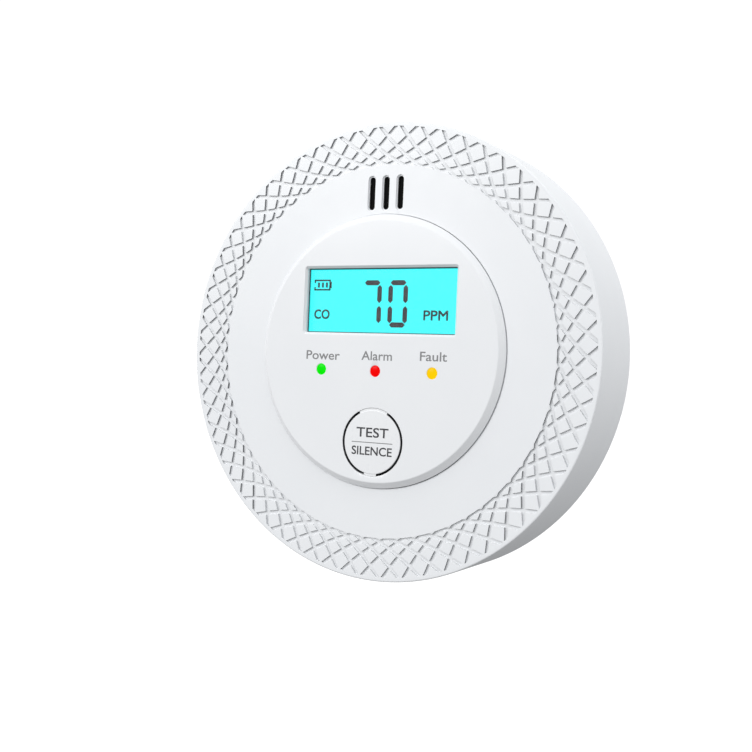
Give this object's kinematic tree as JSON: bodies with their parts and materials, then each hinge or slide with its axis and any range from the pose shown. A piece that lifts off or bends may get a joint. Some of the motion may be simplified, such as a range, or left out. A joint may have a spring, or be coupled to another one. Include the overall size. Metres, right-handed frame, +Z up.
{
  "type": "carbon monoxide detector",
  "caption": "Round wall-mounted carbon monoxide detector with a display, signal lamps, a test button, a lattice-patterned rim, a twist-off bracket and a hinged battery door.",
  "frame": {"origin": "centre of the bracket ring, midway between its two screw holes, on the wall plane", "axes": "+Z up on the wall, +X to the right seen from the room, +Y into the wall; the face looks along -Y"},
  "size_m": [0.089, 0.028, 0.089],
  "materials": {
    "case_white": "satin moulded",
    "cover_white": "fine matt",
    "lens_clear": "clear, polished",
    "gasket_teal": "smooth",
    "lcd_face": "lit cyan liquid crystal panel",
    "backlight": "white light guide",
    "frame_plastic": "matt",
    "pink_rubber": "smooth",
    "pipe_green": "lit clear rod",
    "pipe_red": "lit clear rod",
    "pipe_amber": "lit clear rod",
    "led_body": "moulded, with a clear lens",
    "switch_black": "matt",
    "switch_red": "matt",
    "board_green": "lacquered glass-fibre board",
    "chip_black": "matt epoxy",
    "chip_tan": "fired",
    "cap_sleeve": "shrink sleeve",
    "ferrite": "fine grain",
    "sensor_metal": "satin",
    "filter_felt": "felt",
    "sounder_black": "matt",
    "piezo_brass": "rolled",
    "lead_red": "insulation",
    "mesh_black": "woven",
    "cell_jacket": "printed foil, plain",
    "contact_tin": "nickel plated",
    "spring_steel": "nickel plated wire",
    "screw_zinc": "zinc plated"
  },
  "bodies": {
    "bracket": {"mounting_bracket": "cover_white"},
    "housing": {"rear_cover": "cover_white", "front_shell": "case_white", "fascia_panel": "case_white", "display_lens": "lens_clear", "lens_gasket": "gasket_teal", "lcd_glass": "lcd_face", "lcd_backlight": "backlight", "lcd_frame": "frame_plastic", "zebra_strips": "pink_rubber", "light_pipe_power": "pipe_green", "light_pipe_alarm": "pipe_red", "light_pipe_fault": "pipe_amber", "led_power": "led_body", "led_alarm": "led_body", "led_fault": "led_body", "switch_body": "switch_black", "main_pcb": "board_green", "microcontroller": "chip_black", "small_components": "chip_tan", "reservoir_capacitor": "cap_sleeve", "boost_coil": "ferrite", "co_sensor": "sensor_metal", "sensor_filter": "filter_felt", "sounder_housing": "sounder_black", "piezo_disc": "piezo_brass", "sounder_leads": "lead_red", "dust_mesh": "mesh_black", "battery_upper": "cell_jacket", "battery_lower": "cell_jacket", "contact_link": "contact_tin", "contact_positive": "contact_tin", "contact_negative": "contact_tin", "battery_spring_upper": "spring_steel", "battery_spring_lower": "spring_steel", "case_screws": "screw_zinc", "pcb_screws": "screw_zinc"},
    "test_button": {"test_button": "case_white"},
    "switch_plunger": {"switch_plunger": "switch_red"},
    "battery_door": {"battery_door": "cover_white"}
  },
  "joints": [
    {"name": "housing_twist", "type": "hinge", "parent": "bracket", "child": "housing", "pos_m": [0, 0, 0], "axis": [0, -1, 0], "range_deg": [0, 22]},
    {"name": "button_press", "type": "slide", "parent": "housing", "child": "test_button", "axis": [0, 1, 0], "range_m": [0, 0.0004], "stiffness_N_per_m": 1500, "springref_m": -0.0002},
    {"name": "plunger_press", "type": "slide", "parent": "housing", "child": "switch_plunger", "axis": [0, 1, 0], "range_m": [0, 0.0004]},
    {"name": "door_hinge", "type": "hinge", "parent": "housing", "child": "battery_door", "pos_m": [0, -0.00185, -0.01395], "axis": [-1, 0, 0], "range_deg": [0, 90]}
  ],
  "couplings": [
    {"joint": "plunger_press", "follows": "button_press", "ratio": 1}
  ]
}
